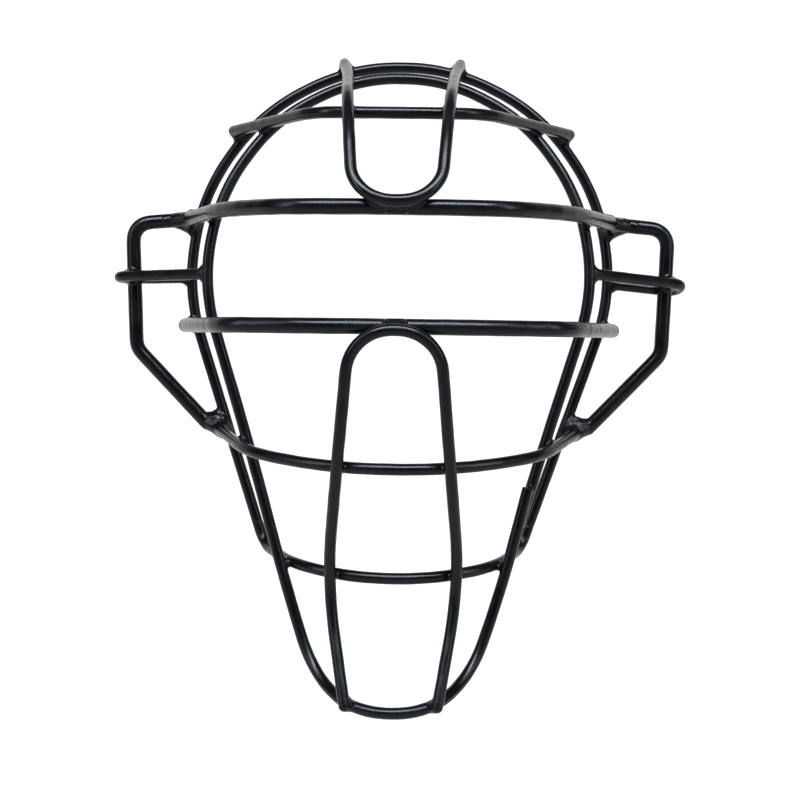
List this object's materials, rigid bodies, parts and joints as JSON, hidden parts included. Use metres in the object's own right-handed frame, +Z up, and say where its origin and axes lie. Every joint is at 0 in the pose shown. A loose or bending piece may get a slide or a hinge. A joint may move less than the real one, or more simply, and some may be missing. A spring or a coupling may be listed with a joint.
{
  "type": "catchers mask wire cage",
  "caption": "Bare welded wire face cage of a catcher's mask: rear rim, front loop, face bars, nose loop, crown loop and ear guards, powder coated black.",
  "frame": {"origin": "middle of the rear rim, in the plane of symmetry, where the rim's wire crosses its depth datum", "axes": "+Z up along the face, from the throat to the crown; +Y from the bars back towards the wearer's face; +X to the right of someone facing the mask"},
  "size_m": [0.2642, 0.1176, 0.2883],
  "materials": {
    "wire_coat": "satin",
    "weld_coat": "satin"
  },
  "bodies": {
    "root": {"brow_bar": "wire_coat", "cheek_bar": "wire_coat", "chin_bar": "wire_coat", "crown_bar": "wire_coat", "crown_loop": "wire_coat", "ear_bar_left": "wire_coat", "ear_bar_right": "wire_coat", "ear_guard_left": "wire_coat", "ear_guard_right": "wire_coat", "eye_bar": "wire_coat", "front_loop": "wire_coat", "nose_loop": "wire_coat", "rear_rim": "wire_coat", "welds_brow_bar": "weld_coat", "welds_cheek_bar": "weld_coat", "welds_chin_bar": "weld_coat", "welds_crown_bar": "weld_coat", "welds_crown_loop": "weld_coat", "welds_ear_bar_left": "weld_coat", "welds_ear_bar_right": "weld_coat", "welds_ear_guard_left": "weld_coat", "welds_ear_guard_right": "weld_coat", "welds_eye_bar": "weld_coat", "welds_front_loop": "weld_coat", "welds_jaw": "weld_coat", "welds_nose_loop": "weld_coat"}
  },
  "joints": []
}
